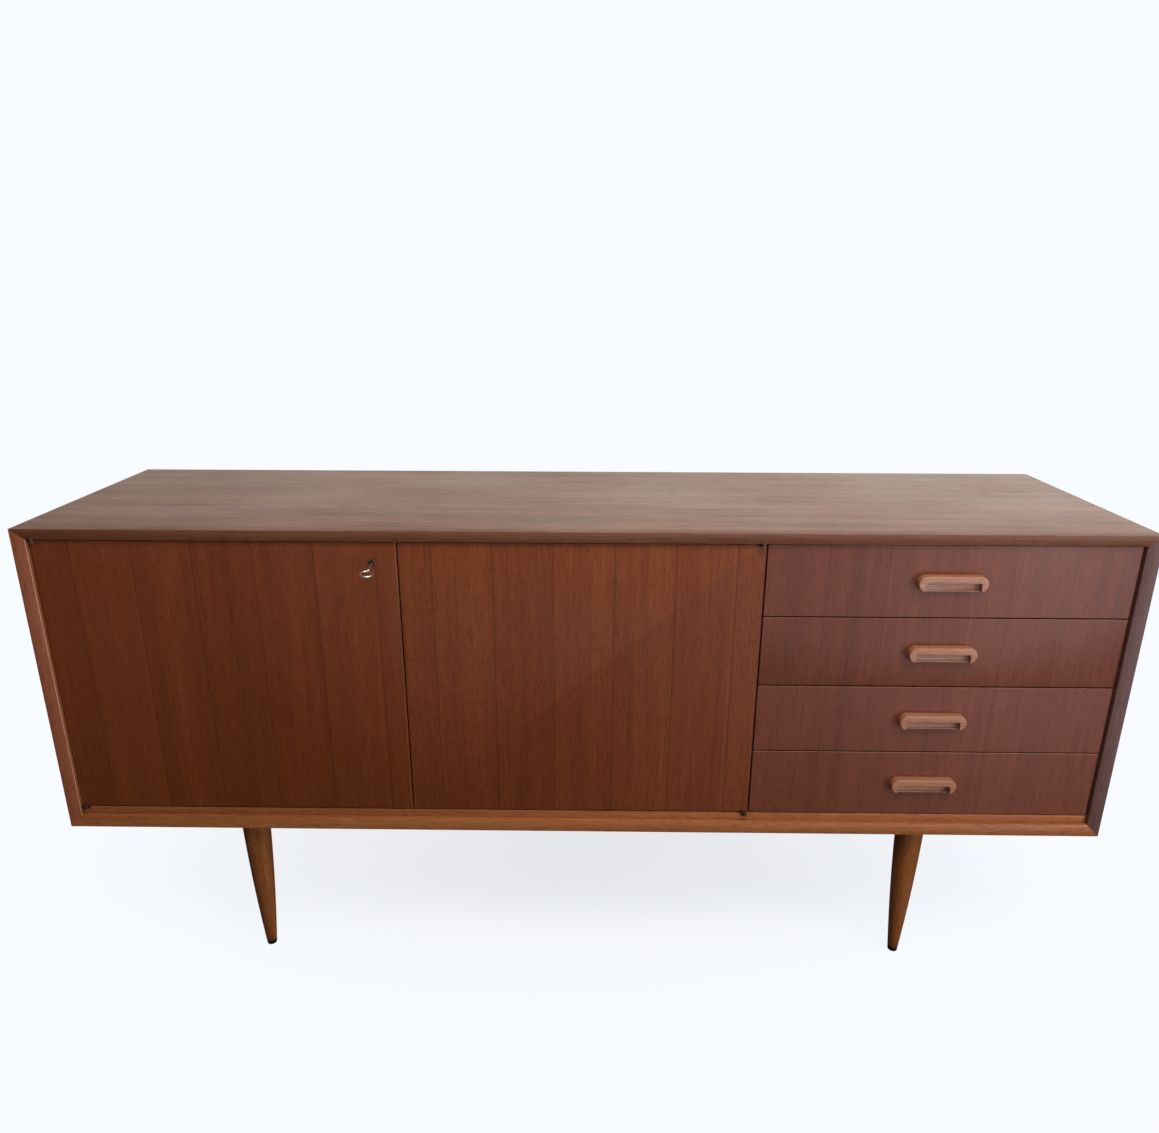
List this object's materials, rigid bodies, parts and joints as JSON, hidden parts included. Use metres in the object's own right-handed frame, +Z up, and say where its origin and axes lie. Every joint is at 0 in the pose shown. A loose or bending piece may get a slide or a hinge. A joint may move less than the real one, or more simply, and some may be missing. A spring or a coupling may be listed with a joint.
{
  "type": "sideboard",
  "caption": "Low teak sideboard on turned tapering legs: hinged doors, one with a lock and key, beside a stack of drawers with bar pulls, in a bevelled mitred frame.",
  "frame": {"origin": "on the floor, in the middle of the footprint of the whole object, key included", "axes": "+X to the right along the front as the user faces it, +Y to the back, +Z up"},
  "size_m": [1.8, 0.4864, 0.83],
  "materials": {
    "teak_veneer": "satin",
    "solid_teak": "satin",
    "beech": "satin",
    "plywood": "matte",
    "steel": "satin",
    "brass": "satin",
    "nickel": "polished",
    "black_plastic": "matte"
  },
  "bodies": {
    "case": {"top_panel": "teak_veneer", "lipping_top": "solid_teak", "bottom_panel": "teak_veneer", "lipping_bottom": "solid_teak", "side_panel_left": "teak_veneer", "lipping_left": "solid_teak", "side_panel_right": "teak_veneer", "lipping_right": "solid_teak", "bottom_rail": "solid_teak", "divider_middle": "teak_veneer", "divider_right": "teak_veneer", "back_panel": "plywood", "back_panel_screws": "steel", "shelf_left": "teak_veneer", "shelf_right": "teak_veneer", "shelf_pins": "brass", "drawer_runners": "beech", "leg_front_left": "solid_teak", "leg_front_right": "solid_teak", "leg_back_left": "solid_teak", "leg_back_right": "solid_teak", "leg_plates": "steel", "leg_plate_screws": "steel", "leg_bolts": "steel", "foot_glides": "black_plastic", "hinge_leaves_case": "brass", "magnetic_catch": "black_plastic"},
    "door_left": {"door_left_board": "teak_veneer", "door_left_lippings": "solid_teak", "door_left_hinge_leaves": "brass", "lock_case": "brass", "keyhole_escutcheon": "brass"},
    "lock_barrel": {"lock_barrel": "steel"},
    "lock_bolt": {"lock_bolt": "steel"},
    "key": {"key": "nickel"},
    "door_right": {"door_right_board": "teak_veneer", "door_right_lippings": "solid_teak", "door_right_hinge_leaves": "brass", "strike_plate": "brass", "catch_plate": "steel"},
    "drawer_1": {"drawer_1_front": "teak_veneer", "drawer_1_box": "beech", "drawer_1_bottom": "plywood", "drawer_1_pull": "solid_teak", "drawer_1_pull_screws": "steel"},
    "drawer_2": {"drawer_2_front": "teak_veneer", "drawer_2_box": "beech", "drawer_2_bottom": "plywood", "drawer_2_pull": "solid_teak", "drawer_2_pull_screws": "steel"},
    "drawer_3": {"drawer_3_front": "teak_veneer", "drawer_3_box": "beech", "drawer_3_bottom": "plywood", "drawer_3_pull": "solid_teak", "drawer_3_pull_screws": "steel"},
    "drawer_4": {"drawer_4_front": "teak_veneer", "drawer_4_box": "beech", "drawer_4_bottom": "plywood", "drawer_4_pull": "solid_teak", "drawer_4_pull_screws": "steel"}
  },
  "joints": [
    {"name": "door_left_hinge", "type": "hinge", "parent": "case", "child": "door_left", "pos_m": [-0.8726, -0.19777, 0.56475], "axis": [0, 0, -1], "range_deg": [0, 90]},
    {"name": "door_right_hinge", "type": "hinge", "parent": "case", "child": "door_right", "pos_m": [0.2838, -0.19777, 0.56475], "axis": [0, 0, 1], "range_deg": [0, 90]},
    {"name": "drawer_1_slide", "type": "slide", "parent": "case", "child": "drawer_1", "axis": [0, -1, 0], "range_m": [0, 0.3]},
    {"name": "drawer_2_slide", "type": "slide", "parent": "case", "child": "drawer_2", "axis": [0, -1, 0], "range_m": [0, 0.3]},
    {"name": "drawer_3_slide", "type": "slide", "parent": "case", "child": "drawer_3", "axis": [0, -1, 0], "range_m": [0, 0.3]},
    {"name": "drawer_4_slide", "type": "slide", "parent": "case", "child": "drawer_4", "axis": [0, -1, 0], "range_m": [0, 0.3]},
    {"name": "key_turn", "type": "hinge", "parent": "door_left", "child": "lock_barrel", "pos_m": [-0.3356, -0.19147, 0.7746], "axis": [0, -1, 0], "range_deg": [0, 90]},
    {"name": "bolt_throw", "type": "slide", "parent": "door_left", "child": "lock_bolt", "axis": [1, 0, 0], "range_m": [0, 0.006]},
    {"name": "key_withdraw", "type": "slide", "parent": "lock_barrel", "child": "key", "axis": [0, -0.9903, -0.1392], "range_m": [0, 0.045]}
  ],
  "couplings": [
    {"joint": "bolt_throw", "follows": "key_turn", "m_per_rad": 0.0038197}
  ]
}
